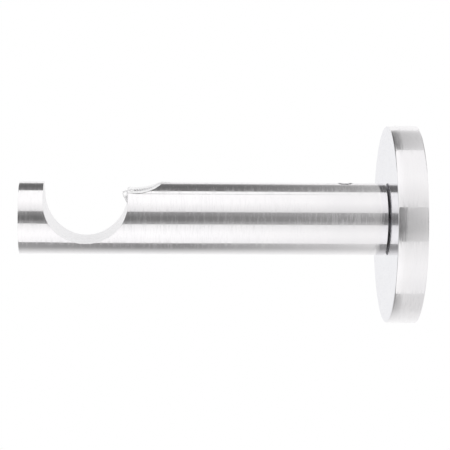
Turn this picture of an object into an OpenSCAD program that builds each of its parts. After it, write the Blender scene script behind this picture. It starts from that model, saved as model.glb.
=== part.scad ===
// Curtain pole bracket: a solid bar arm with an open cradle for the pole. The arm slides over
// a spigot that stands on a hidden wall plate, and a turned rose covers the plate.
// The wall is the plane x = 0. The arm points away from it along -X, on the X axis. +Z is up.

/* [Arm] */
// Diameter of the round bar
arm_d = 25; // [22:0.5:32]
// Distance from the wall to the arm's free end
arm_reach = 136.8; // [132:0.2:180]
// Gap between the arm's inner end and the face of the rose
arm_gap = 0.6; // [0.2:0.1:1.5]
// Chamfer on the bar's two end edges
arm_chamfer = 0.25; // [0.1:0.05:0.8]

/* [Pole cradle] */
// Diameter of the pole that lies in the cradle
pole_d = 28; // [24:0.5:30]
// Clearance between the pole and the cradle, on the diameter
pole_clearance = 0.7; // [0.2:0.1:1.5]
// Distance from the wall to the middle of the pole
pole_offset = 114; // [100:0.5:118]
// Thickness of the bar that is left under the cradle
cradle_floor = 5; // [3:0.25:8]

/* [Hollow beside the cradle] */
// Radius of the cutter that leaves the hollow in the top of the bar
hollow_r = 17; // [12:0.5:25]
// Depth of the hollow below the top of the bar
hollow_depth = 2.9; // [2:0.1:4]
// Distance from the cradle's wall to the lowest line of the hollow
hollow_inset = 2.4; // [0:0.2:4]

/* [Pole lock screw] */
// Diameter of the headless screw that locks the pole
lock_d = 5; // [3:0.5:6]
// Length of the lock screw
lock_len = 4; // [3.5:0.5:6]
// Slope of the lock screw below level, in degrees
lock_slope = 28; // [20:1:40]
// Depth of the screw's axis below the hollow, where it meets the cradle's wall
lock_drop = 2.3; // [1.5:0.1:4]
// Length of the screw's tip that stands in the cradle
lock_out = 1.1; // [0.2:0.1:1.5]

/* [Arm grub screw] */
// Diameter of the headless screw that holds the arm on its spigot
grub_d = 5; // [4:0.5:6]
// Depth of the grub screw's top below the top of the bar
grub_inset = 0.95; // [0.2:0.05:2]
// Distance from the wall to the grub screw
grub_offset = 24.6; // [19:0.2:28]

/* [Screw sockets] */
// Width across the flats of the hexagon socket in each headless screw
hex_af = 2.5; // [1.5:0.1:2.6]
// Depth of the hexagon socket in each headless screw
hex_depth = 2; // [1:0.1:2.2]

/* [Rose] */
// Outer diameter of the rose
rose_d = 68.4; // [66:0.2:80]
// Depth of the rose, from the wall to its face
rose_depth = 10.3; // [9:0.1:16]
// Thickness of the rose's face
rose_face = 2.5; // [1.5:0.1:3.5]
// Thickness of the rose's rim
rose_rim = 2.35; // [1.5:0.05:3]
// Play between the rose and the wall plate, on the radius, by which the rose hangs low
rose_play = 1.85; // [0.5:0.05:2.5]
// Chamfer on the rose's turned edges
rose_chamfer = 0.25; // [0.1:0.05:0.8]

/* [Wall plate] */
// Thickness of the wall plate
plate_t = 5; // [4.5:0.1:5.8]
// Distance between the two wall screws, one above the other
wall_screw_pitch = 42; // [34:1:46]
// Diameter of the two wall screw holes
wall_screw_d = 5.5; // [4:0.1:6.5]
// Diameter of the countersinks for the wall screw heads
wall_head_d = 10.5; // [8:0.1:11]

/* [Spigot] */
// Diameter of the spigot
spigot_d = 12; // [11:0.5:14]
// Distance from the wall to the spigot's free end
spigot_reach = 34; // [32:0.5:45]
// Depth of the spigot's seat in the wall plate
spigot_seat = 1; // [0.5:0.1:1.2]
// Chamfer on the spigot's free end
spigot_chamfer = 1; // [0.3:0.1:2]
// Depth of the groove that the grub screw bites into
groove_depth = 0.5; // [0.2:0.1:1]
// Space left in the arm's bore beyond the spigot's end
bore_space = 3; // [1:0.5:8]

/* [Spigot screw] */
// Diameter of the countersunk screw that holds the spigot
bolt_d = 6; // [5:0.5:7]
// Length of the countersunk screw, head included
bolt_len = 16; // [12:0.5:20]
// Diameter of the countersunk head
bolt_head_d = 11; // [10:0.5:12]
// Width across the flats of its hexagon socket
bolt_af = 4; // [3:0.1:4.5]

/* [Clearances] */
// Clearance between the arm's bore and the spigot, on the radius
bore_fit = 0.1; // [0.05:0.01:0.3]
// Clearance between a screw and its hole, on the radius
thread_fit = 0.05; // [0.02:0.01:0.1]
// Clearance at a seat that takes the load of one piece on another
seat_gap = 0.05; // [0.02:0.01:0.1]

/* [Hidden] */
$fn = 96;
hexagon = 6;

// Every cut runs past the surface that it opens by this much
overrun = 1;

arm_r = arm_d / 2;
arm_start = rose_depth + arm_gap;

cradle_r = (pole_d + pole_clearance) / 2;
cradle_z = cradle_floor + cradle_r - arm_r;
cradle_wall = pole_offset - cradle_r;

hollow_floor = arm_r - hollow_depth;
hollow_from_wall = cradle_wall - hollow_inset;

lock_r = lock_d / 2;
lock_z = hollow_floor - lock_drop;
// The tapped hole leaves the bar at the top, so it is as long as its slope asks
lock_bore_len = (arm_r - lock_z + lock_d) / sin(lock_slope);

grub_r = grub_d / 2;
// Chamfer on the ends of the headless screws
screw_chamfer = thread_fit * 8;
// Countersink that breaks the edge of the grub screw's hole
hole_break = thread_fit * 4;
// Radius and depth of the cup at each headless screw's tip, as a share of the screw's radius
cup_share = 0.55;

rose_r = rose_d / 2;
rose_recess_r = rose_r - rose_rim;
rose_drop = rose_play - seat_gap;
// The hole stays under the end of the arm, and clears the spigot where the rose hangs low
rose_hole_r = spigot_d / 2 + rose_play + seat_gap;

plate_r = rose_recess_r - rose_play;
plate_chamfer = rose_chamfer * 2;

spigot_r = spigot_d / 2;
spigot_start = plate_t - spigot_seat;
bore_r = spigot_r + bore_fit;
bore_end = spigot_reach + bore_space;
// Half the angle of the drill point that ends a blind hole, in degrees
drill_half_angle = 59;
groove_r = spigot_r - groove_depth;
groove_half_w = grub_r + groove_depth;
grub_tip_z = groove_r + seat_gap;
grub_len = arm_r - grub_inset - grub_tip_z;

bolt_r = bolt_d / 2;
bolt_head_r = bolt_head_d / 2;
bolt_cone_h = bolt_head_r - bolt_r;
// The head lies below the back of the plate by this much
bolt_sink = seat_gap * 4;
bolt_socket_depth = bolt_cone_h;
tapped_end = bolt_sink + bolt_len + bolt_r;

steel = "#d5d3d6";
plated = "#b9bcc0";
dark_steel = "#8d8f93";

// Turns what is built along +Z to run from the wall along the arm. Its +X then points up.
module along_arm() {
    rotate([0, -90, 0]) children();
}

// A round cutter that lies across the arm, at a distance from the wall and a height
module across_arm(from_wall, height, r) {
    translate([-from_wall, 0, height])
        rotate([90, 0, 0])
            cylinder(h = arm_d + 2 * overrun, r = r, center = true);
}

// The frame of the pole lock screw: its origin is where the screw's axis meets the cradle's
// wall, and +Z runs up the slope, out of the hollow
module at_lock() {
    translate([-cradle_wall, 0, lock_z])
        rotate([0, 90 - lock_slope, 0]) children();
}

// A blind hole with the cone that a drill leaves, from z = 0 up
module drilled_hole(r, depth) {
    union() {
        translate([0, 0, -overrun]) cylinder(h = depth + overrun, r = r);
        translate([0, 0, depth]) cylinder(h = r / tan(drill_half_angle), r1 = r, r2 = 0);
    }
}

// A headless screw that stands on its cup point at z = 0, with a hexagon socket at the top
module headless_screw(r, len) {
    cup_r = r * cup_share;
    difference() {
        rotate_extrude() polygon([
            [0, 0], [r - screw_chamfer, 0], [r, screw_chamfer],
            [r, len - screw_chamfer], [r - screw_chamfer, len], [0, len]
        ]);
        cylinder(h = cup_r, r1 = cup_r, r2 = 0);
        translate([0, 0, len - hex_depth])
            cylinder(h = hex_depth + overrun, d = hex_af / cos(180 / hexagon), $fn = hexagon);
    }
}

module arm_bar() {
    along_arm() rotate_extrude() polygon([
        [0, arm_start], [arm_r - arm_chamfer, arm_start], [arm_r, arm_start + arm_chamfer],
        [arm_r, arm_reach - arm_chamfer], [arm_r - arm_chamfer, arm_reach], [0, arm_reach]
    ]);
}

// Half-round seat with upright walls above its middle, open to the top and to both sides
module cradle_cut() {
    across_arm(pole_offset, cradle_z, cradle_r);
    translate([-pole_offset - cradle_r, -arm_r - overrun, cradle_z])
        cube([2 * cradle_r, arm_d + 2 * overrun, arm_d]);
}

// Tapped hole of the lock screw, which slopes out through the hollow and scores its far end
module lock_hole() {
    at_lock() translate([0, 0, -cradle_floor])
        cylinder(h = lock_bore_len + cradle_floor, r = lock_r + thread_fit);
}

module grub_hole() {
    mouth_r = grub_r + thread_fit;
    translate([-grub_offset, 0, 0])
        cylinder(h = arm_r + overrun, r = mouth_r);
    translate([-grub_offset, 0, arm_r - hole_break])
        cylinder(h = 2 * hole_break, r1 = mouth_r, r2 = mouth_r + 2 * hole_break);
}

module arm() {
    color(steel) difference() {
        arm_bar();
        cradle_cut();
        across_arm(hollow_from_wall, hollow_floor + hollow_r, hollow_r);
        lock_hole();
        grub_hole();
        along_arm() translate([0, 0, arm_start]) drilled_hole(bore_r, bore_end - arm_start);
    }
}

// A turned cup that hangs on the edge of the wall plate, with its open side to the wall
module rose() {
    recess_end = rose_depth - rose_face;
    color(steel) translate([0, 0, -rose_drop]) along_arm() rotate_extrude() polygon([
        [rose_hole_r, recess_end], [rose_hole_r, rose_depth],
        [rose_r - rose_chamfer, rose_depth], [rose_r, rose_depth - rose_chamfer],
        [rose_r, rose_chamfer], [rose_r - rose_chamfer, 0],
        [rose_recess_r, 0], [rose_recess_r, recess_end - rose_chamfer],
        [rose_recess_r - rose_chamfer, recess_end]
    ]);
}

// Through hole with a 90 degree countersink, whose wide end is at the plate's front face
module wall_screw_hole() {
    hole_r = wall_screw_d / 2;
    sink = (wall_head_d - wall_screw_d) / 2;
    translate([0, 0, -overrun]) cylinder(h = plate_t + 2 * overrun, r = hole_r);
    translate([0, 0, plate_t - sink])
        cylinder(h = sink + overrun, r1 = hole_r, r2 = hole_r + sink + overrun);
}

module wall_plate() {
    color(plated) along_arm() difference() {
        rotate_extrude() polygon([
            [0, 0], [plate_r - plate_chamfer, 0], [plate_r, plate_chamfer],
            [plate_r, plate_t - plate_chamfer], [plate_r - plate_chamfer, plate_t], [0, plate_t]
        ]);
        for (side = [-1, 1])
            translate([side * wall_screw_pitch / 2, 0, 0]) wall_screw_hole();
        translate([0, 0, spigot_start])
            cylinder(h = spigot_seat + overrun, r = spigot_r + thread_fit);
        translate([0, 0, -overrun])
            cylinder(h = plate_t + 2 * overrun, r = bolt_r + thread_fit);
        // Seat of the countersunk head
        translate([0, 0, -overrun]) cylinder(
            h = bolt_sink + bolt_cone_h + overrun,
            r1 = bolt_head_r + bolt_sink + thread_fit + overrun,
            r2 = bolt_r + thread_fit);
    }
}

// Turned stud with a groove for the grub screw and a tapped hole in its foot
module spigot() {
    color(plated) along_arm() difference() {
        rotate_extrude() polygon([
            [0, spigot_start], [spigot_r, spigot_start],
            [spigot_r, grub_offset - groove_half_w],
            [groove_r, grub_offset - groove_half_w + groove_depth],
            [groove_r, grub_offset + groove_half_w - groove_depth],
            [spigot_r, grub_offset + groove_half_w],
            [spigot_r, spigot_reach - spigot_chamfer],
            [spigot_r - spigot_chamfer, spigot_reach], [0, spigot_reach]
        ]);
        translate([0, 0, spigot_start])
            drilled_hole(bolt_r + thread_fit, tapped_end - spigot_start);
    }
}

// Countersunk screw with a hexagon socket, driven from the back of the wall plate
module spigot_screw() {
    color(dark_steel) along_arm() difference() {
        rotate_extrude() polygon([
            [0, bolt_sink], [bolt_head_r, bolt_sink],
            [bolt_r, bolt_sink + bolt_cone_h],
            [bolt_r, bolt_sink + bolt_len - screw_chamfer],
            [bolt_r - screw_chamfer, bolt_sink + bolt_len], [0, bolt_sink + bolt_len]
        ]);
        translate([0, 0, bolt_sink - overrun]) cylinder(
            h = bolt_socket_depth + overrun, d = bolt_af / cos(180 / hexagon), $fn = hexagon);
    }
}

// Stands upright in the top of the arm, with its cup on the spigot's groove
module arm_grub_screw() {
    color(dark_steel) translate([-grub_offset, 0, grub_tip_z]) headless_screw(grub_r, grub_len);
}

// Slopes down towards the pole, with its tip in the cradle
module pole_lock_screw() {
    color(dark_steel) at_lock() translate([0, 0, -lock_out]) headless_screw(lock_r, lock_len);
}

arm();
rose();
wall_plate();
spigot();
spigot_screw();
arm_grub_screw();
pole_lock_screw();
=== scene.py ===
"""Looks of a curtain pole bracket: a turned bar arm with a pole cradle, and a turned wall rose.

All lengths are in metres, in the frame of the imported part: the wall is the plane x = 0, the arm
points away from it along -X on the X axis, and +Z is up.
"""

import logging
import math
from abc import ABC, abstractmethod
from collections.abc import Callable, Iterator
from contextlib import contextmanager
from dataclasses import dataclass, field
from enum import Enum
from typing import Any

import bmesh
import bpy
from mathutils import Euler, Matrix, Vector


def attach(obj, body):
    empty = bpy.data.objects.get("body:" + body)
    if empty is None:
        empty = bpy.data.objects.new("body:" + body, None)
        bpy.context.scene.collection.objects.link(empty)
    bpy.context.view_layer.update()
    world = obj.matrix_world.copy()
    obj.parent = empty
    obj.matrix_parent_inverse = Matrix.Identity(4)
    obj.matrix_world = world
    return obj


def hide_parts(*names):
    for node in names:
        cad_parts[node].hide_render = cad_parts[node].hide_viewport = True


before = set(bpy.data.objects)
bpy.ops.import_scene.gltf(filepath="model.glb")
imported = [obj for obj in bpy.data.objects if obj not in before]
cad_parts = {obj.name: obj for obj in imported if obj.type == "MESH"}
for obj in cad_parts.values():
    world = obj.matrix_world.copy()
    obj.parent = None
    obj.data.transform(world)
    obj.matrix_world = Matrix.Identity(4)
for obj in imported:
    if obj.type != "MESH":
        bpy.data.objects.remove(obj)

log = logging.getLogger("curtain_pole_bracket")

Colour = tuple[float, float, float, float]
Point = tuple[float, float, float]
# Places along a line, each with the level there
Stops = list[tuple[float, float]]

MM = 0.001
ORIGIN: Point = (0.0, 0.0, 0.0)
# Segments round the large turned forms, round holes and small screws
TURNED_SEGMENTS = 144
HOLE_SEGMENTS = 96
# Segments round the hollow's cutter: few, so that its edges have room for their rounding
HOLLOW_SEGMENTS = 48
HEXAGON = 6
# Every cut runs past the surface that it opens by this much
OVERRUN = 1 * MM
# Solids that are joined or intersected share no surface, because one is larger by this much
SKIN = OVERRUN / 100
# Edges shorter than this are closed up before a cut edge is rounded
TINY_EDGE = 0.07 * MM
SMOOTH_ANGLE = math.radians(24)
# A face looks along a direction if its normal has at least this share along it
FACING_SHARE = 0.9
# Points of a thread that lie closer than this share of its pitch are one
MERGE_SHARE = 0.01
# Where a thread meets another shape, the longer one runs past the other's end by these turns
SPARE_TURNS = 2
# Octaves of the noise in every finish, and the range of it over which a shade changes
NOISE_DETAIL = 2.0
SHADE_RANGE = (0.3, 0.7)
# Place of the Object coordinates on their node
OBJECT_OUTPUT = 3
# Angles of the edges that two neighbouring cards share, in degrees
REAR_EDGE = 103.3
BROW_EDGE = 28.0
SILL_EDGE = -10.5
KEEL_EDGE = -77.4


class Axis(Enum):
    """The direction that a turned form lies along, with the turn that takes +Z there."""

    X = (0.0, math.pi / 2, 0.0)
    Y = (-math.pi / 2, 0.0, 0.0)
    Z = (0.0, 0.0, 0.0)


class Element(Enum):
    """What is selected in edit mode."""

    EDGE = "EDGE"
    FACE = "FACE"


class Keep(Enum):
    """What is kept of two solids when one cuts the other."""

    OUTSIDE = "DIFFERENCE"
    INSIDE = "INTERSECT"
    BOTH = "UNION"


class Ray(Enum):
    """The kinds of ray that the floor tells apart, by their place on the Light Path node."""

    CAMERA = 0
    GLOSSY = 3
    TRANSMISSION = 6


class Slot(Enum):
    """The record's material slots."""

    TURNED = "turned_steel"
    PLATED = "plated_steel"
    SCREW = "screw_steel"


@dataclass(frozen=True)
class Thread:
    """The form of a screw thread."""

    pitch: float = 0.8 * MM
    depth: float = 0.4 * MM
    # Steps in one turn
    steps: int = 48


# Shader maths


@dataclass(frozen=True)
class Sock:
    """A shader socket that plain arithmetic works on."""

    tree: "ShaderTree"
    link: Any

    def math(self, operation: str, *others: Any) -> "Sock":
        """Adds a Math node that starts with this socket.

        Args:
            operation: The Math node's operation.
            others: The node's other values or sockets.

        Returns:
            The node's result.
        """
        values = dict(enumerate((self, *others)))
        return self.tree.node("ShaderNodeMath", {"operation": operation}, values)[0]

    def __add__(self, other: Any) -> "Sock":
        """Sum."""
        return self.math("ADD", other)

    __radd__ = __add__

    def __mul__(self, other: Any) -> "Sock":
        """Product."""
        return self.math("MULTIPLY", other)

    __rmul__ = __mul__

    def __sub__(self, other: Any) -> "Sock":
        """Difference."""
        return self.math("SUBTRACT", other)

    def __rsub__(self, other: Any) -> "Sock":
        """Difference, with this socket taken away."""
        return self * -1.0 + other

    def __truediv__(self, other: Any) -> "Sock":
        """Quotient."""
        return self.math("DIVIDE", other)

    def ramp(self, low: float, high: float, start: float = 0.0, end: float = 1.0) -> "Sock":
        """Maps this value smoothly from one range to another.

        Args:
            low: The value that gives start.
            high: The value that gives end.
            start: The result at and below low.
            end: The result at and above high.

        Returns:
            The mapped value.
        """
        sockets = {0: self, 1: low, 2: high, 3: start, 4: end}
        return self.tree.node(
            "ShaderNodeMapRange", {"interpolation_type": "SMOOTHSTEP"}, sockets)[0]

    def stepped(self, start: float, end: float, stops: Stops) -> "Sock":
        """Follows a list of levels over a range of this value.

        Args:
            start: The value at the start of the range.
            end: The value at its end.
            stops: This value and the level at each stop.

        Returns:
            The level.
        """
        places = [((stop - start) / (end - start), level) for stop, level in stops]
        share = (self - start) / (end - start)
        return self.tree.node("ShaderNodeValToRGB", {"stops": places}, {0: share})[0]


class ShaderTree:
    """The nodes of one material or world."""

    def __init__(self, owner: bpy.types.Material | bpy.types.World) -> None:
        """Empties the owner's node tree.

        Args:
            owner: The material or world that the nodes belong to.
        """
        owner.use_nodes = True
        self.nodes = owner.node_tree.nodes
        self.links = owner.node_tree.links
        self.nodes.clear()

    def node(self, kind: str, settings: dict[str, Any], sockets: dict[Any, Any]) -> list[Sock]:
        """Adds one node.

        Args:
            kind: The node's type.
            settings: The node's own settings, and the stops of a ramp.
            sockets: Values or links for its inputs, by name or number.

        Returns:
            The node's outputs that are in use, in order.
        """
        made = self.nodes.new(kind)
        for name, value in settings.items():
            if name == "stops":
                self.set_stops(made.color_ramp, value)
            else:
                setattr(made, name, value)
        for name, value in sockets.items():
            if isinstance(value, Sock):
                self.links.new(value.link, made.inputs[name])
            else:
                made.inputs[name].default_value = value
        return [Sock(self, out) for out in made.outputs if out.enabled]

    @staticmethod
    def set_stops(ramp: bpy.types.ColorRamp, stops: Stops) -> None:
        """Gives a ramp its stops.

        Args:
            ramp: The ramp.
            stops: Place and grey level of each stop, in rising order of place.
        """
        while len(ramp.elements) < len(stops):
            ramp.elements.new(1.0)
        for element, (place, level) in zip(ramp.elements, stops):
            element.position = place
            element.color = grey(level)

    def mix(self, factor: Any, first: Any, second: Any) -> Sock:
        """Mixes two colours.

        Args:
            factor: Share of the second colour.
            first: First colour.
            second: Second colour.

        Returns:
            The mixed colour.
        """
        # Numbers 1 to 5 are the node's inputs for values and vectors
        sockets = {0: factor, 6: first, 7: second}
        return self.node("ShaderNodeMix", {"data_type": "RGBA"}, sockets)[0]

    def place(self) -> Sock:
        """The Object coordinates, which stay with the surface."""
        return self.node("ShaderNodeTexCoord", {}, {})[OBJECT_OUTPUT]

    def place_parts(self) -> list[Sock]:
        """The Object coordinates as X, Y and Z."""
        return self.node("ShaderNodeSeparateXYZ", {}, {0: self.place()})

    def noise(self, at: Sock) -> Sock:
        """Smooth noise, read at a point that is already scaled."""
        sockets = {"Vector": at, "Scale": 1.0, "Detail": NOISE_DETAIL}
        return self.node("ShaderNodeTexNoise", {}, sockets)[0]

    def glow(self, colour: Any) -> Sock:
        """A shader that gives off a colour as it is written."""
        return self.node("ShaderNodeEmission", {}, {"Color": colour, "Strength": 1.0})[0]

    def show(self, shader: Sock, output: str = "ShaderNodeOutputMaterial") -> None:
        """Sends a shader to the output of the material or world."""
        self.node(output, {}, {0: shader})


def grey(level: float) -> Colour:
    """A plain grey, from 0 to 1."""
    return (level, level, level, 1.0)


def new_material(name: str) -> tuple[bpy.types.Material, ShaderTree]:
    """A new material, with its empty nodes."""
    material = bpy.data.materials.new(name)
    return material, ShaderTree(material)


# Finishes


@dataclass(frozen=True)
class Steel(ABC):
    """Bare steel with the fine lines of the tool that made its surface."""

    name: str
    light: Colour
    dark: Colour
    roughness: float
    # Difference in roughness between the lines, and the range of their noise that it covers
    roughness_spread: float
    line_range: tuple[float, float]
    line_depth: float
    metallic: float = 1.0
    # Colour of the reflection at a grazing angle
    edge: Colour = grey(1.0)

    def build(self) -> bpy.types.Material:
        """Makes the material.

        Returns:
            The material.
        """
        material, tree = new_material(self.name)
        lines, shade = self.pattern(tree)
        bump = tree.node(
            "ShaderNodeBump", {}, {"Strength": 1.0, "Distance": self.line_depth, "Height": lines})
        half = self.roughness_spread / 2
        shader = tree.node("ShaderNodeBsdfPrincipled", {}, {
            "Base Color": tree.mix(shade.ramp(*SHADE_RANGE), self.dark, self.light),
            "Metallic": self.metallic,
            "Specular Tint": self.edge,
            "Roughness": lines.ramp(*self.line_range, self.roughness - half, self.roughness + half),
            "Normal": bump[0],
        })
        tree.show(shader[0])
        return material

    @abstractmethod
    def pattern(self, tree: ShaderTree) -> tuple[Sock, Sock]:
        """The height of the tool lines, and what the shade follows."""


@dataclass(frozen=True)
class TurnedSteel(Steel):
    """Bright steel as the lathe leaves it, with fine lines round its axis."""

    name: str = "turned_steel"
    light: Colour = (0.9, 0.885, 0.895, 1.0)
    dark: Colour = (0.875, 0.862, 0.875, 1.0)
    roughness: float = 0.12
    roughness_spread: float = 0.2
    line_range: tuple[float, float] = (0.35, 0.65)
    line_depth: float = 0.0016 * MM
    # Lines for each metre across them, and how quickly one changes along its length
    line_rate: float = 2200.0
    along_rate: float = 260.0
    # The same rates for the slow drift in shade, as shares of those
    drift_across_share: float = 0.04
    drift_along_share: float = 0.2
    # Height of the axis that the piece was turned on
    axis_z: float = 0.0

    def pattern(self, tree: ShaderTree) -> tuple[Sock, Sock]:
        """Lines round the axis, and a slow drift across them.

        Args:
            tree: The material's nodes.

        Returns:
            The height of the lines, and the drift.
        """
        x, y, z = tree.place_parts()
        z = z - self.axis_z
        radius = (y * y + z * z).math("SQRT")
        across = (x + radius) * self.line_rate
        along = (y * self.along_rate, z * self.along_rate)
        slow = [part * self.drift_along_share for part in along]
        lines = tree.node("ShaderNodeCombineXYZ", {}, {0: across, 1: along[0], 2: along[1]})
        drift = tree.node("ShaderNodeCombineXYZ", {}, {
            0: across * self.drift_across_share, 1: slow[0], 2: slow[1]})
        return tree.noise(lines[0]), tree.noise(drift[0])


@dataclass(frozen=True)
class CutSteel(Steel):
    """Steel that a milling cutter or drill has left, with lines round the cutter's axis."""

    name: str = "milled_steel"
    light: Colour = (0.9, 0.89, 0.9, 1.0)
    dark: Colour = (0.82, 0.815, 0.83, 1.0)
    roughness: float = 0.3
    roughness_spread: float = 0.1
    line_range: tuple[float, float] = SHADE_RANGE
    line_depth: float = 0.002 * MM
    # Lines for each metre along the object's X, Y and Z
    rates: Point = (220.0, 2600.0, 220.0)

    def pattern(self, tree: ShaderTree) -> tuple[Sock, Sock]:
        """Lines along the cutter's path, which the shade follows too.

        Args:
            tree: The material's nodes.

        Returns:
            The height of the lines, twice.
        """
        at = tree.node("ShaderNodeMapping", {}, {"Vector": tree.place(), "Scale": self.rates})
        lines = tree.noise(at[0])
        return lines, lines


# Rates of a finish that has no direction
EVEN_RATES: Point = (900.0, 900.0, 900.0)
ZINC_PLATE = TurnedSteel(
    name="zinc_plate", light=(0.72, 0.74, 0.76, 1.0), dark=(0.6, 0.62, 0.65, 1.0),
    roughness=0.36, roughness_spread=0.12, line_rate=1800.0, line_depth=0.004 * MM)
SCREW_STEEL = CutSteel(
    name="screw_steel", light=(0.66, 0.66, 0.67, 1.0), dark=(0.5, 0.5, 0.51, 1.0),
    rates=EVEN_RATES)
# Near-white, partly matt copy of the screw steel for the pole screw: painted light that hides the
# shade under the screw and where it meets the cradle
POLE_SCREW_PAINTED_LIGHT = CutSteel(
    name="pole_screw_painted_light", light=(1.0, 0.995, 1.0, 1.0), dark=(0.97, 0.965, 0.97, 1.0),
    metallic=0.4, rates=EVEN_RATES)


# Modelling


def clear_selection() -> None:
    """Deselects every object."""
    bpy.ops.object.select_all(action="DESELECT")


def pick(piece: bpy.types.Object) -> None:
    """Selects one piece alone, and makes it the active object.

    Args:
        piece: The piece.
    """
    clear_selection()
    bpy.context.view_layer.objects.active = piece
    piece.select_set(True)


@contextmanager
def editing(piece: bpy.types.Object) -> Iterator[None]:
    """Opens a piece in edit mode, with nothing selected, and closes it again.

    Args:
        piece: The piece to edit.
    """
    pick(piece)
    bpy.ops.object.mode_set(mode="EDIT")
    bpy.ops.mesh.select_mode(type="VERT")
    bpy.ops.mesh.select_all(action="DESELECT")
    yield
    bpy.ops.object.mode_set(mode="OBJECT")


def select(piece: bpy.types.Object, kind: Element, test: Callable[[Any], bool]) -> None:
    """Selects those edges or faces of the open piece that pass a test, and nothing else.

    Args:
        piece: The piece that is open in edit mode.
        kind: Whether edges or faces are selected.
        test: Tells whether one of them is wanted.
    """
    bpy.ops.mesh.select_all(action="DESELECT")
    bpy.ops.mesh.select_mode(type=kind.value)
    mesh = bmesh.from_edit_mesh(piece.data)
    for element in mesh.edges if kind is Element.EDGE else mesh.faces:
        element.select_set(test(element))
    bmesh.update_edit_mesh(piece.data)


def select_edges(piece: bpy.types.Object, test: Callable[[bmesh.types.BMEdge], bool]) -> None:
    """Selects the edges of the open piece that pass a test."""
    select(piece, Element.EDGE, test)


def select_faces(piece: bpy.types.Object, test: Callable[[bmesh.types.BMFace], bool]) -> None:
    """Selects the faces of the open piece that pass a test."""
    select(piece, Element.FACE, test)


def modify(piece: bpy.types.Object, kind: str, **settings: Any) -> None:
    """Adds a modifier to a piece and applies it.

    Args:
        piece: The piece.
        kind: The modifier's type.
        settings: The modifier's own settings.
    """
    pick(piece)
    modifier = piece.modifiers.new(kind, kind)
    for name, value in settings.items():
        setattr(modifier, name, value)
    bpy.ops.object.modifier_apply(modifier=modifier.name)


def settle(piece: bpy.types.Object) -> None:
    """Puts a piece's place, turn and size into its mesh."""
    pick(piece)
    bpy.ops.object.transform_apply(location=True, rotation=True, scale=True)


def added(name: str, scale: Point = (1.0, 1.0, 1.0)) -> bpy.types.Object:
    """Takes up the primitive that was added last.

    Args:
        name: Its name.
        scale: Its size along X, Y and Z, as shares of the size that it was added at.

    Returns:
        The primitive, with its place in its mesh.
    """
    piece = bpy.context.object
    piece.name = name
    piece.scale = scale
    settle(piece)
    return piece


def cone(
    name: str, start_r: float, end_r: float, start: float, end: float, axis: Axis = Axis.X,
    centre: Point = ORIGIN, segments: int = HOLE_SEGMENTS,
) -> bpy.types.Object:
    """Adds a cone, or the stump of one.

    Args:
        name: The object's name.
        start_r: Its radius at the start.
        end_r: Its radius at the end.
        start: Where it starts along its axis, from the centre.
        end: Where it ends.
        axis: The direction that it lies along.
        centre: A point on its axis.
        segments: Number of sides.

    Returns:
        The cone, with its place in its mesh.
    """
    middle = Vector((0, 0, (start + end) / 2))
    middle.rotate(Euler(axis.value))
    clear_selection()
    bpy.ops.mesh.primitive_cone_add(
        vertices=segments, radius1=start_r, radius2=end_r, depth=abs(end - start),
        location=Vector(centre) + middle, rotation=axis.value)
    return added(name)


def bar(
    name: str, radius: float, start: float, end: float, axis: Axis = Axis.X,
    centre: Point = ORIGIN, segments: int = HOLE_SEGMENTS,
) -> bpy.types.Object:
    """Adds a round bar, with the sizes and places of a cone whose ends are alike."""
    return cone(name, radius, radius, start, end, axis, centre, segments)


def sunk_hole(
    name: str, hole_r: float, head_r: float, face: float, end: float, centre: Point = ORIGIN,
) -> bpy.types.Object:
    """Adds the shape of a countersunk hole along X.

    Args:
        name: The object's name.
        hole_r: The hole's radius.
        head_r: The countersink's radius at the face that it is in. Its sides slope at 45 degrees.
        face: Where that face lies along X.
        end: Where the hole ends.
        centre: A point on its axis.

    Returns:
        The shape, which stands out of the face a little.
    """
    inward = math.copysign(1, end - face)
    sink = inward * (head_r - hole_r)
    ratio = hole_r / head_r
    hole = bar(name, head_r, face - inward * OVERRUN, face, centre=centre)
    with editing(hole):
        select_faces(hole, lambda side: side.normal.x * inward > FACING_SHARE)
        bpy.ops.mesh.extrude_region_move(TRANSFORM_OT_translate={"value": (sink, 0, 0)})
        bpy.ops.transform.resize(value=(1, ratio, ratio), center_override=centre)
        bpy.ops.mesh.extrude_region_move(
            TRANSFORM_OT_translate={"value": (end - face - sink, 0, 0)})
    return hole


def socket(across_flats: float, start: float, end: float, axis: Axis) -> bpy.types.Object:
    """Adds the shape of a hexagon socket.

    Args:
        across_flats: The width between two flats.
        start: Where it starts along its axis.
        end: Where it ends.
        axis: The direction that it lies along.

    Returns:
        The shape.
    """
    radius = across_flats / 2 / math.cos(math.pi / HEXAGON)
    return bar("socket", radius, start, end, axis, segments=HEXAGON)


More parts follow.
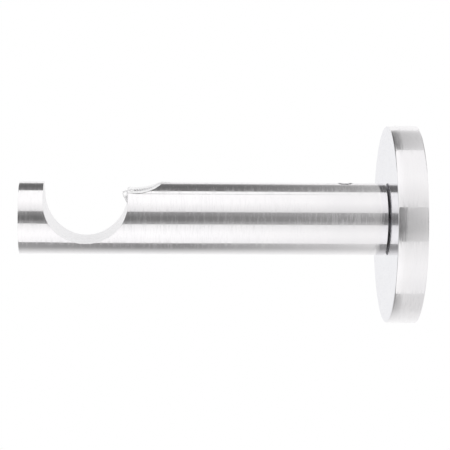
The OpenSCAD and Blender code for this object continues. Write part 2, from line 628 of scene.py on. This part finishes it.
def threaded_bar(
    name: str, radius: float, thread: Thread, first_turn: int, turns: int,
) -> bpy.types.Object:
    """Adds a bar along Z with a helical thread all along it.

    Args:
        name: The object's name.
        radius: The radius over the thread's crests.
        thread: The thread's form.
        first_turn: The turn that it starts at. Turn 0 starts at the origin.
        turns: The number of turns.

    Returns:
        The bar, closed at both ends.
    """
    clear_selection()
    bpy.ops.mesh.primitive_plane_add(
        size=thread.depth, location=(radius - thread.depth, 0, first_turn * thread.pitch))
    piece = added(name)
    with editing(piece):
        bpy.ops.mesh.select_all(action="SELECT")
        bpy.ops.mesh.merge(type="CENTER")
        for out in (thread.depth, -thread.depth):
            bpy.ops.mesh.extrude_vertices_move(
                TRANSFORM_OT_translate={"value": (out, 0, thread.pitch / 2)})
    modify(piece, "SCREW", axis="Z", screw_offset=thread.pitch, iterations=turns,
           steps=thread.steps, render_steps=thread.steps)
    with editing(piece):
        bpy.ops.mesh.select_all(action="SELECT")
        bpy.ops.mesh.remove_doubles(threshold=thread.pitch * MERGE_SHARE)
        bpy.ops.mesh.select_all(action="DESELECT")
        bpy.ops.mesh.select_mode(type="EDGE")
        bpy.ops.mesh.select_non_manifold()
        bpy.ops.mesh.extrude_region_move()
        bpy.ops.mesh.merge(type="COLLAPSE")
        bpy.ops.mesh.select_all(action="SELECT")
        bpy.ops.mesh.normals_make_consistent(inside=False)
    return piece


def cut(piece: bpy.types.Object, *cutters: bpy.types.Object, keep: Keep = Keep.OUTSIDE) -> None:
    """Cuts a piece with other solids, which are used up.

    Args:
        piece: The piece to cut.
        cutters: The solids. A cut face takes its cutter's material.
        keep: What is kept of the two.
    """
    for cutter in cutters:
        modify(piece, "BOOLEAN", operation=keep.value, solver="EXACT", material_mode="TRANSFER",
               object=cutter)
        bpy.data.objects.remove(cutter)


def dress(piece: bpy.types.Object, material: bpy.types.Material) -> None:
    """Gives a piece one material all over."""
    piece.data.materials.clear()
    piece.data.materials.append(material)


def dress_faces(
    piece: bpy.types.Object, material: bpy.types.Material,
    test: Callable[[bmesh.types.BMFace], bool],
) -> None:
    """Gives some faces of a piece another material.

    Args:
        piece: The piece.
        material: The faces' material.
        test: Tells whether a face takes it.
    """
    piece.data.materials.append(material)
    with editing(piece):
        select_faces(piece, test)
        piece.active_material_index = len(piece.data.materials) - 1
        bpy.ops.object.material_slot_assign()


def smooth(piece: bpy.types.Object) -> None:
    """Shades a piece smooth, apart from its sharp edges.

    Args:
        piece: The piece.
    """
    pick(piece)
    bpy.ops.object.shade_smooth_by_angle(angle=SMOOTH_ANGLE)
    modify(piece, "WEIGHTED_NORMAL", keep_sharp=True)


def is_sharp(edge: bmesh.types.BMEdge) -> bool:
    """Tells whether an edge is sharper than what is shaded smooth."""
    return edge.calc_face_angle(0) > SMOOTH_ANGLE


def stand_for(piece: bpy.types.Object, node: str) -> None:
    """Smooths a finished piece and lets it stand for its CAD node.

    Args:
        piece: The finished piece.
        node: The node that it replaces.
    """
    smooth(piece)
    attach(piece, "root")
    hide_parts(node)
    log.info("%s stands for %s, with %d faces", piece.name, node, len(piece.data.polygons))


# Pieces


@dataclass
class Arm:
    """The solid bar, with the cradle, the hollow beside it, two tapped holes and the bore."""

    radius: float = 12.5 * MM
    start: float = -10.9 * MM
    reach: float = -136.8 * MM
    chamfer: float = 0.25 * MM
    inner_chamfer: float = 0.06 * MM
    chamfer_steps: int = 2
    cradle_x: float = -114 * MM
    cradle_z: float = 6.85 * MM
    cradle_r: float = 14.35 * MM
    hollow_x: float = -97.25 * MM
    hollow_r: float = 17 * MM
    hollow_floor: float = 9.6 * MM
    bore_r: float = 6.1 * MM
    bore_end: float = -37 * MM
    thread: Thread = Thread()
    grub_x: float = -24.6 * MM
    grub_r: float = 2.55 * MM
    grub_turns: int = 20
    hole_break: float = 0.2 * MM
    # Where the sloping hole's axis meets the cradle's wall
    lock_x: float = -99.65 * MM
    lock_z: float = 7.3 * MM
    lock_r: float = 2.55 * MM
    lock_slope: float = math.radians(28)
    # Turns of the sloping hole's thread before that place, and in all
    lock_lead_turns: int = 6
    lock_turns: int = 34
    # Where that thread starts to show, from the same place
    lock_relief: float = 0.65 * MM
    edge_break: float = 0.1 * MM
    break_steps: int = 3
    # The rounding of the hollow's long edges grows to this beyond these distances from the
    # middle, and beyond one, two, three and four of these steps from the cradle's wall
    hollow_break: float = 0.25 * MM
    hollow_tips: tuple[float, ...] = (3.5 * MM, 4.5 * MM, 5.5 * MM, 6.5 * MM)
    hollow_step: float = 0.15 * MM
    # A point is in the side of the bar if it is further from the axis than this share of the
    # radius, and in the bore or the sloping hole's mouth if it is nearer than this share
    side_share: float = 0.999
    bore_share: float = 1.01
    mouth_share: float = 1.2
    turned: TurnedSteel = TurnedSteel()
    milled: CutSteel = CutSteel()
    # Near-white copy of the milled steel for the hollow's cut faces: painted light that lifts the
    # shade in the hollow
    hollow: CutSteel = CutSteel(
        name="hollow_steel_painted_light", light=(0.98, 0.975, 0.98, 1.0), dark=(0.93, 0.925, 0.935, 1.0))
    # Lighter, less metallic copy of the milled steel for the sloping hole: painted light against
    # the shade deep in the hole
    tapped: CutSteel = CutSteel(
        name="tapped_steel_painted_light", light=(0.96, 0.955, 0.96, 1.0), dark=(0.9, 0.895, 0.9, 1.0),
        roughness=0.45, metallic=0.7)
    sawn: CutSteel = CutSteel(
        name="sawn_steel", light=(0.95, 0.945, 0.95, 1.0), dark=(0.85, 0.845, 0.85, 1.0),
        roughness=0.8, metallic=0.1, rates=EVEN_RATES)

    def build(self) -> None:
        """Makes the arm and lets it stand for its node."""
        arm = self.blank()
        dress(arm, self.turned.build())
        milled = self.milled.build()
        cutters = [
            (self.hollow_cutter(), self.hollow.build()),
            (self.seat_cutter(), milled),
            (self.wall_cutter(), milled),
            (self.lock_cutter(), self.tapped.build()),
            (self.grub_cutter(), milled),
            (self.grub_break_cutter(), milled),
            (self.bore_cutter(), milled),
        ]
        for cutter, finish in cutters:
            dress(cutter, finish)
            cut(arm, cutter)
        self.break_edges(arm)
        dress_faces(arm, self.sawn.build(), self.is_inner_end)
        stand_for(arm, "arm")

    def blank(self) -> bpy.types.Object:
        """Makes the turned bar before it is cut, with its end edges chamfered.

        Returns:
            The bar.
        """
        blank = bar("arm_bar", self.radius, self.reach, self.start, segments=TURNED_SEGMENTS)
        middle = (self.reach + self.start) / 2
        with editing(blank):
            for side, chamfer in ((-1, self.chamfer), (1, self.inner_chamfer)):
                select_edges(blank, lambda edge: all(
                    (vert.co.x - middle) * side > 0 for vert in edge.verts))
                bpy.ops.mesh.bevel(offset=chamfer, segments=self.chamfer_steps)
        return blank

    def break_edges(self, arm: bpy.types.Object) -> None:
        """Rounds the edges that the cutters left, and those of the hollow the most.

        Args:
            arm: The arm, with everything cut out.
        """
        share = self.edge_break / self.hollow_break
        with editing(arm):
            select_edges(arm, self.is_cut_edge)
            bpy.ops.mesh.remove_doubles(threshold=TINY_EDGE)
            select_edges(arm, self.is_cut_edge)
            bpy.ops.transform.edge_bevelweight(value=share)
            for number, tip in enumerate(self.hollow_tips, start=1):
                wall = self.lock_x + number * self.hollow_step
                select_edges(arm, lambda edge: self.is_hollow_edge(edge, tip, wall))
                bpy.ops.transform.edge_bevelweight(value=(1 - share) / len(self.hollow_tips))
        modify(arm, "BEVEL", limit_method="WEIGHT", width=self.hollow_break,
               segments=self.break_steps, use_clamp_overlap=False)

    def is_cut_edge(self, edge: bmesh.types.BMEdge) -> bool:
        """Tells whether a cutter left this edge where it can be seen.

        Args:
            edge: The edge.

        Returns:
            Whether it is sharp, and away from the bore, the bar's ends and the tapped holes.
        """
        if not is_sharp(edge):
            return False
        ends = [vert.co for vert in edge.verts]
        in_bore = all(end.yz.length < self.bore_r * self.bore_share for end in ends)
        at_end = min(end.x for end in ends) > self.start - self.chamfer or (
            max(end.x for end in ends) < self.reach + self.chamfer)
        in_hole = any(self.is_in_tapped_hole(end) for end in ends)
        return not in_bore and not at_end and not in_hole

    def is_hollow_edge(self, edge: bmesh.types.BMEdge, tip: float, wall: float) -> bool:
        """Tells whether this is part of the hollow's long edges.

        Args:
            edge: The edge.
            tip: The least distance from the middle that counts.
            wall: The place along X beyond which it counts.

        Returns:
            Whether both its ends lie in the side of the bar, within those limits.
        """
        ends = [vert.co for vert in edge.verts]
        beside = all(end.x > wall and abs(end.y) > tip for end in ends)
        in_side = all(end.yz.length > self.radius * self.side_share for end in ends)
        in_reach = all(end.x < self.hollow_x + self.hollow_r for end in ends)
        return self.is_cut_edge(edge) and beside and in_side and in_reach

    def is_in_tapped_hole(self, point: Vector) -> bool:
        """Tells whether a point lies in one of the tapped holes, or at its mouth.

        Args:
            point: The point.

        Returns:
            Whether it is that close to the axis of either hole.
        """
        along = Vector((math.cos(self.lock_slope), 0, math.sin(self.lock_slope)))
        from_lock = point - Vector((self.lock_x, 0, self.lock_z))
        off_lock = (from_lock - from_lock.dot(along) * along).length
        off_grub = Vector((point.x - self.grub_x, point.y)).length
        grub_mouth = self.grub_r + 3 * self.hole_break
        return off_lock < self.lock_r * self.mouth_share or off_grub < grub_mouth

    def is_inner_end(self, face: bmesh.types.BMFace) -> bool:
        """Tells whether this face is in the end of the bar next to the rose."""
        at_end = face.calc_center_median().x > self.start - self.inner_chamfer
        return face.normal.x > FACING_SHARE and at_end

    def hollow_cutter(self) -> bpy.types.Object:
        """The side cutter that left the hollow in the top of the bar."""
        half = self.radius + OVERRUN
        return bar("hollow_cutter", self.hollow_r, -half, half, Axis.Y,
                   (self.hollow_x, 0, self.hollow_floor + self.hollow_r), HOLLOW_SEGMENTS)

    def seat_cutter(self) -> bpy.types.Object:
        """The cutter of the half-round seat."""
        half = self.radius + OVERRUN
        return bar("seat_cutter", self.cradle_r, -half, half, Axis.Y,
                   (self.cradle_x, 0, self.cradle_z), TURNED_SEGMENTS)

    def wall_cutter(self) -> bpy.types.Object:
        """Makes the box that keeps the cradle's walls upright above its middle.

        Returns:
            The box.
        """
        half = self.radius + OVERRUN
        clear_selection()
        bpy.ops.mesh.primitive_cube_add(size=1, location=(self.cradle_x, 0, self.cradle_z + half))
        return added("wall_cutter", (2 * self.cradle_r, 2 * half, 2 * half))

    def lock_cutter(self) -> bpy.types.Object:
        """Makes the sloping tapped hole, with a thread beyond its relieved mouth.

        Returns:
            The shape of the hole.
        """
        cutter = threaded_bar(
            "lock_cutter", self.lock_r, self.thread, -self.lock_lead_turns, self.lock_turns)
        lead = (self.lock_lead_turns + SPARE_TURNS) * self.thread.pitch
        relief = bar("relief", self.lock_r + SKIN, -lead, self.lock_relief, Axis.Z)
        cut(cutter, relief, keep=Keep.BOTH)
        cutter.rotation_euler = (0, math.pi / 2 - self.lock_slope, 0)
        cutter.location = (self.lock_x, 0, self.lock_z)
        settle(cutter)
        return cutter

    def grub_cutter(self) -> bpy.types.Object:
        """Makes the upright tapped hole near the rose, with its thread.

        Returns:
            The shape of the hole.
        """
        cutter = threaded_bar("grub_cutter", self.grub_r, self.thread, 0, self.grub_turns)
        cutter.location = (self.grub_x, 0, 0)
        settle(cutter)
        return cutter

    def grub_break_cutter(self) -> bpy.types.Object:
        """The countersink that breaks the edge of the grub screw's hole."""
        narrow, wide = self.grub_r - self.hole_break, self.grub_r + 2 * self.hole_break
        return cone("grub_break", narrow, wide, self.radius - 2 * self.hole_break,
                    self.radius + self.hole_break, Axis.Z, (self.grub_x, 0, 0))

    def bore_cutter(self) -> bpy.types.Object:
        """The blind bore that the spigot fills."""
        return bar("bore_cutter", self.bore_r, self.bore_end, self.start + OVERRUN)


@dataclass
class Rose:
    """The turned cup that covers the wall plate."""

    radius: float = 34.2 * MM
    depth: float = 10.3 * MM
    face: float = 2.5 * MM
    rim: float = 2.35 * MM
    hole_r: float = 7.9 * MM
    # How far it hangs below the arm's axis
    drop: float = 1.8 * MM
    edge_break: float = 0.4 * MM
    break_steps: int = 4
    # Width of the strip at the front of the rim that is drawn in, and by how much
    lead: float = 3.4 * MM
    lead_drop: float = 0.18 * MM
    lead_steps: int = 6
    # Shades and grazing reflection of the face: a darker, bluer copy of the rim's turned steel,
    # painted shade on the face
    face_light: Colour = (0.875, 0.87, 0.895, 1.0)
    face_dark: Colour = (0.855, 0.85, 0.875, 1.0)
    face_edge: Colour = (0.937, 0.938, 0.947, 1.0)

    def build(self) -> None:
        """Makes the rose and lets it stand for its node."""
        centre = (0, 0, -self.drop)
        rim = TurnedSteel(name="turned_rose", axis_z=-self.drop).build()
        # The face takes the darker copy of the rim's steel, which is painted shade
        face = TurnedSteel(name="rose_face_painted_shade", light=self.face_light, dark=self.face_dark,
                           edge=self.face_edge, axis_z=-self.drop).build()
        rose = self.blank(centre)
        recess = bar("recess_cutter", self.radius - self.rim, self.face - self.depth, OVERRUN,
                     centre=centre, segments=TURNED_SEGMENTS)
        hole = bar("hole_cutter", self.hole_r, -self.depth - OVERRUN, OVERRUN, centre=centre,
                   segments=TURNED_SEGMENTS)
        for part in (rose, recess, hole):
            dress(part, rim)
        cut(rose, recess, hole)
        dress_faces(rose, face, self.looks_out)
        with editing(rose):
            select_edges(rose, is_sharp)
            bpy.ops.mesh.bevel(offset=self.edge_break, segments=self.break_steps)
        stand_for(rose, "rose")

    def blank(self, centre: Point) -> bpy.types.Object:
        """Makes the disc before it is hollowed, with the front of its rim drawn in a little.

        Args:
            centre: The middle of its back.

        Returns:
            The disc.
        """
        blank = bar("rose_cup", self.radius, self.lead - self.depth, 0, centre=centre,
                    segments=TURNED_SEGMENTS)
        step = self.lead / self.lead_steps
        with editing(blank):
            for number in range(self.lead_steps):
                select_faces(blank, self.looks_out)
                bpy.ops.mesh.extrude_region_move(TRANSFORM_OT_translate={"value": (-step, 0, 0)})
                # The strip's outline is a parabola, so each step draws in by the next odd number
                drawn_in = self.lead_drop * (2 * number + 1) / self.lead_steps ** 2
                ratio = 1 - drawn_in / self.radius
                bpy.ops.transform.resize(value=(1, ratio, ratio), center_override=centre)
        return blank

    @staticmethod
    def looks_out(face: bmesh.types.BMFace) -> bool:
        """Tells whether a face looks away from the wall."""
        return face.normal.x < -FACING_SHARE


@dataclass
class HeadlessScrew:
    """A threaded screw with a hexagon socket at its top and a cup at its tip."""

    name: str
    node: str
    # Where its own Z = 0 lies, and its turn about Y from upright
    at: Point
    turn: float
    # Its tip and top along its own axis
    tip: float
    top: float
    radius: float = 2.5 * MM
    chamfer: float = 0.4 * MM
    cup_r: float = 1.375 * MM
    socket_af: float = 2.5 * MM
    socket_depth: float = 2 * MM
    # Length of a plain point at its tip
    point: float = 0.0
    thread: Thread = Thread()

    def build(self, finish: bpy.types.Material) -> None:
        """Makes the screw and lets it stand for its node.

        Args:
            finish: The screw's material.
        """
        first = math.floor(self.tip / self.thread.pitch) - SPARE_TURNS
        turns = math.ceil((self.top - self.tip) / self.thread.pitch) + 2 * SPARE_TURNS + 1
        screw = threaded_bar(self.name, self.radius, self.thread, first, turns)
        outline = bar("outline", self.radius + SKIN, self.tip, self.top, Axis.Z)
        with editing(outline):
            select_edges(outline, lambda edge: edge.verts[0].co.z == edge.verts[1].co.z)
            bpy.ops.mesh.bevel(offset=self.chamfer, segments=1)
        if self.point:
            point = bar("point", self.radius + OVERRUN, self.tip - OVERRUN, self.tip + self.point,
                        Axis.Z)
            cut(screw, point, keep=Keep.BOTH)
        cut(screw, outline, keep=Keep.INSIDE)
        # The cup's sides slope at 45 degrees
        cup = cone("cup", self.cup_r + OVERRUN, 0, self.tip - OVERRUN, self.tip + self.cup_r,
                   Axis.Z)
        cut(screw, socket(self.socket_af, self.top - self.socket_depth, self.top + OVERRUN,
                          Axis.Z), cup)
        screw.rotation_euler = (0, self.turn, 0)
        screw.location = self.at
        settle(screw)
        dress(screw, finish)
        stand_for(screw, self.node)


@dataclass
class WallPlate:
    """The round plate behind the rose, with its two countersunk wall screw holes."""

    radius: float = 30 * MM
    thickness: float = 5 * MM
    chamfer: float = 0.5 * MM
    chamfer_steps: int = 3
    screw_pitch: float = 42 * MM
    screw_r: float = 2.75 * MM
    screw_head_r: float = 5.25 * MM
    seat_r: float = 6.05 * MM
    seat_depth: float = 1 * MM
    bolt_r: float = 3.05 * MM
    bolt_head_r: float = 5.55 * MM
    bolt_sink: float = 0.2 * MM

    def build(self, finish: bpy.types.Material) -> None:
        """Makes the plate and lets it stand for its node.

        Args:
            finish: The plate's material.
        """
        front = -self.thickness
        plate = bar("fixing_plate", self.radius, front, 0, segments=TURNED_SEGMENTS)
        with editing(plate):
            select_edges(
                plate, lambda edge: abs(edge.verts[0].co.x - edge.verts[1].co.x) < OVERRUN)
            bpy.ops.mesh.bevel(offset=self.chamfer, segments=self.chamfer_steps)
        cutters = [sunk_hole("screw_hole", self.screw_r, self.screw_head_r, front, OVERRUN,
                             (0, 0, side * self.screw_pitch / 2)) for side in (-1, 1)]
        cutters.append(sunk_hole("bolt_hole", self.bolt_r, self.bolt_head_r + self.bolt_sink, 0,
                                 front - OVERRUN))
        cutters.append(bar("seat", self.seat_r, front - OVERRUN, front + self.seat_depth))
        cut(plate, *cutters)
        dress(plate, finish)
        stand_for(plate, "wall_plate")


@dataclass
class SpigotScrew:
    """The countersunk screw that holds the spigot from behind."""

    head_r: float = 5.5 * MM
    shank_r: float = 3 * MM
    sink: float = 0.2 * MM
    length: float = 16 * MM
    socket_af: float = 4 * MM
    socket_depth: float = 2.5 * MM
    edge_break: float = 0.15 * MM
    break_steps: int = 3

    def build(self, finish: bpy.types.Material) -> None:
        """Makes the screw and lets it stand for its node.

        Args:
            finish: The screw's material.
        """
        head_end = -self.sink - (self.head_r - self.shank_r)
        screw = cone("countersunk_screw", self.shank_r, self.head_r, head_end, -self.sink)
        with editing(screw):
            select_edges(screw, lambda edge: is_sharp(edge) and max(
                vert.co.x for vert in edge.verts) > -self.sink - self.edge_break)
            bpy.ops.mesh.bevel(offset=self.edge_break, segments=self.break_steps)
            select_faces(screw, lambda face: face.normal.x < -FACING_SHARE and
                         face.calc_center_median().x < head_end + self.edge_break)
            bpy.ops.mesh.extrude_region_move(TRANSFORM_OT_translate={
                "value": (-self.length - self.sink - head_end, 0, 0)})
        cut(screw, socket(self.socket_af, -self.sink - self.socket_depth, OVERRUN, Axis.X))
        dress(screw, finish)
        stand_for(screw, "spigot_screw")


# Studio


def show_card(name: str, material: bpy.types.Material, scale: Point = (1.0, 1.0, 1.0)) -> None:
    """Makes the plane that was added last a card that only the polished steel sees.

    Args:
        name: The card's name.
        material: Its light.
        scale: Its size along X, Y and Z, as shares of the size that it was added at.
    """
    card = added(name, scale)
    dress(card, material)
    card.visible_camera = False
    card.visible_diffuse = False
    card.visible_shadow = False


@dataclass
class Card:
    """A large lit card that runs beside the arm."""

    name: str
    # Angles of its two long edges in degrees, seen from the arm: 0 is level, towards the
    # viewer, 90 is up and -90 is down
    low: float
    high: float
    # Level of its light at places along the arm's direction, in metres
    along: Stops
    # Level that it fades to across its width, and the share of that level at some angles
    edge_level: float
    across: Stops
    distance: float = 1.0
    left: float = -1.6
    right: float = 1.6

    def build(self) -> None:
        """Makes the card."""
        middle = math.radians((self.low + self.high) / 2)
        half = math.radians((self.high - self.low) / 2)
        out = Vector((0, -math.cos(middle), math.sin(middle))) * self.distance
        clear_selection()
        bpy.ops.mesh.primitive_plane_add(
            size=1, location=out + Vector(((self.left + self.right) / 2, 0, 0)),
            rotation=(math.pi / 2 - middle, 0, 0))
        show_card(self.name, self.material(),
                  (self.right - self.left, 2 * self.distance * math.tan(half), 1))

    def material(self) -> bpy.types.Material:
        """Makes light that changes along and across the card.

        Returns:
            The material.
        """
        material, tree = new_material(self.name)
        x, y, z = tree.place_parts()
        angle = z.math("ARCTAN2", y * -1.0) * math.degrees(1)
        level = x.stepped(self.left, self.right, self.along)
        share = angle.stepped(self.low, self.high, self.across)
        tree.show(tree.glow(tree.mix(share, level, grey(self.edge_level))))
        return material


@dataclass
class EndCard:
    """A large lit card that faces the arm's free end."""

    name: str = "end_card"
    x: float = -2.0
    size: float = 3.2
    # Level of its light at some heights
    levels: tuple[tuple[float, float], ...] = ((-1.6, 0.3), (-0.5, 0.5), (0.3, 0.8), (1.6, 1.05))

    def build(self) -> None:
        """Makes the card."""
        clear_selection()
        bpy.ops.mesh.primitive_plane_add(
            size=self.size, location=(self.x, 0, 0), rotation=(0, math.pi / 2, 0))
        show_card(self.name, self.material())

    def material(self) -> bpy.types.Material:
        """Makes light that changes with height.

        Returns:
            The material.
        """
        material, tree = new_material(self.name)
        height = tree.place_parts()[2]
        tree.show(tree.glow(height.stepped(-self.size / 2, self.size / 2, list(self.levels))))
        return material


def arm_cards() -> list[Card]:
    """Gives the cards round the arm, which make its bands of light and dark.

    Returns:
        The cards, from behind the arm over the top and down to below it.
    """
    return [
        Card("rear_card", low=REAR_EDGE, high=149,
             along=[(-0.18, 0.14), (-0.05, 0.15), (0, 0.18), (0.05, 0.27), (0.095, 0.37),
                    (0.14, 0.65), (0.22, 1), (0.4, 0.3)],
             edge_level=1, across=[(108, 0.06), (124, 0), (140, 0.03), (146, 0.3)]),
        Card("overhead_card", low=BROW_EDGE, high=REAR_EDGE,
             along=[(-0.18, 1.12), (-0.05, 1.13), (0, 1.105), (0.095, 1.02), (0.14, 1.02)],
             edge_level=0.7, across=[(BROW_EDGE, 0.6), (33, 0.55), (38, 0.4), (44, 0.3),
                                     (49, 0.2), (55, 0.1), (62, 0)]),
        Card("front_card", low=SILL_EDGE, high=BROW_EDGE,
             along=[(-0.18, 0.17), (-0.05, 0.215), (0, 0.25), (0.05, 0.3), (0.095, 0.325),
                    (0.14, 0.54), (0.22, 1), (0.4, 0.3)],
             edge_level=1, across=[(-8, 0.17), (-4, 0.15), (-1, 0.06), (2, 0), (12, 0),
                                   (17, 0.06), (22, 0.1)]),
        Card("reflector_card", low=KEEL_EDGE, high=SILL_EDGE,
             along=[(-0.18, 1.13), (-0.05, 1.13), (0, 1.085), (0.095, 1), (0.14, 1)],
             edge_level=0.7, across=[(-70, 0.15), (-60, 0.1), (-52, 0), (-38, 0), (-27, 0.15),
                                     (-18, 0.3), (-13, 0.4)]),
        # Grey card below the arm: a painted shadow that stands in for the arm's own shadow on the
        # floor beneath it, seen in the arm's underside
        Card("painted_shadow_card", low=-160, high=KEEL_EDGE,
             along=[(-0.18, 0.35), (-0.1, 0.29), (-0.05, 0.3), (0, 0.41), (0.095, 0.61),
                    (0.14, 0.78)],
             edge_level=1, across=[(-158, 1), (-143, 0.9), (-132, 0.75), (-124, 0.6),
                                   (-116, 0.45), (-109, 0.25), (-104, 0.1), (-100, 0.05),
                                   (-95, 0)]),
    ]


@dataclass
class Studio:
    """The pale floor, the white surroundings, the cards and the camera."""

    floor_z: float = -1.7
    floor_size: float = 60.0
    floor_level: float = 0.8
    cards: list[Card] = field(default_factory=arm_cards)
    end_card: EndCard = field(default_factory=EndCard)
    camera_at: Point = (-0.09844, -0.67283, 0.10136)
    yaw: float = math.radians(2.76)
    pitch: float = math.radians(8.75)
    roll: float = math.radians(-0.72)
    # Width of the camera's sensor and its focal length, in millimetres
    sensor: float = 36.0
    lens: float = 157.66
    clip: float = 10 * MM

    def build(self) -> None:
        """Makes the whole studio."""
        self.camera()
        self.world()
        self.floor()
        for card in self.cards:
            card.build()
        self.end_card.build()
        bpy.context.scene.view_settings.view_transform = "Standard"
        log.info("studio with %d cards", len(self.cards) + 1)

    def camera(self) -> None:
        """Puts the camera where the photograph was taken from."""
        forward = Vector((
            math.sin(self.yaw) * math.cos(self.pitch),
            math.cos(self.yaw) * math.cos(self.pitch),
            -math.sin(self.pitch)))
        level = Vector((math.cos(self.yaw), -math.sin(self.yaw), 0))
        down = forward.cross(level)
        right = math.cos(self.roll) * level + math.sin(self.roll) * down
        up = math.sin(self.roll) * level - math.cos(self.roll) * down
        turn = Matrix((right, up, -forward)).transposed().to_4x4()
        clear_selection()
        bpy.ops.object.camera_add()
        camera = bpy.context.object
        camera.matrix_world = Matrix.Translation(self.camera_at) @ turn
        camera.data.sensor_width = self.sensor
        camera.data.lens = self.lens
        camera.data.clip_start = self.clip
        bpy.context.scene.camera = camera

    @staticmethod
    def world() -> None:
        """Makes white surroundings, which are the soft light too."""
        world = bpy.data.worlds.new("studio")
        bpy.context.scene.world = world
        tree = ShaderTree(world)
        light = tree.node("ShaderNodeBackground", {}, {"Color": grey(1.0), "Strength": 1.0})
        tree.show(light[0], "ShaderNodeOutputWorld")

    def floor(self) -> None:
        """Makes a plain pale floor, which the camera, polish and glass see as white."""
        clear_selection()
        bpy.ops.mesh.primitive_plane_add(size=self.floor_size, location=(0, 0, self.floor_z))
        floor = added("floor")
        material, tree = new_material("pale_floor")
        path = tree.node("ShaderNodeLightPath", {}, {})
        seen = path[Ray.CAMERA.value] + path[Ray.GLOSSY.value] + path[Ray.TRANSMISSION.value]
        matt = tree.node("ShaderNodeBsdfDiffuse", {}, {"Color": grey(self.floor_level)})
        shader = tree.node("ShaderNodeMixShader", {}, {
            0: seen.math("MINIMUM", 1.0), 1: matt[0], 2: tree.glow(grey(1.0))})
        tree.show(shader[0])
        dress(floor, material)


def dress_node(node: str, finish: bpy.types.Material) -> None:
    """Gives a CAD node that stays a finish of its own."""
    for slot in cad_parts[node].material_slots:
        slot.material = finish


def main() -> None:
    """Builds the studio and each piece in order."""
    logging.basicConfig(level=logging.INFO, format="%(name)s: %(message)s")
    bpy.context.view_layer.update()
    Studio().build()
    arm = Arm()
    arm.build()
    Rose().build()
    zinc = ZINC_PLATE.build()
    screw_steel = SCREW_STEEL.build()
    WallPlate().build(zinc)
    SpigotScrew().build(screw_steel)
    # The pole screw takes the near-white copy of the screw steel, which is painted light
    HeadlessScrew(
        "pole_screw", "pole_lock_screw", at=(arm.lock_x, 0, arm.lock_z),
        turn=math.pi / 2 - arm.lock_slope, tip=-1.1 * MM, top=2.9 * MM, point=1.6 * MM,
    ).build(POLE_SCREW_PAINTED_LIGHT.build())
    HeadlessScrew(
        "spigot_lock", "arm_grub_screw", at=(arm.grub_x, 0, 0), turn=0, tip=5.55 * MM,
        top=11.55 * MM,
    ).build(screw_steel)
    dress_node("spigot", zinc)
    log.info("spigot keeps its own shape, in %s", zinc.name)


if __name__ == "__main__":
    main()
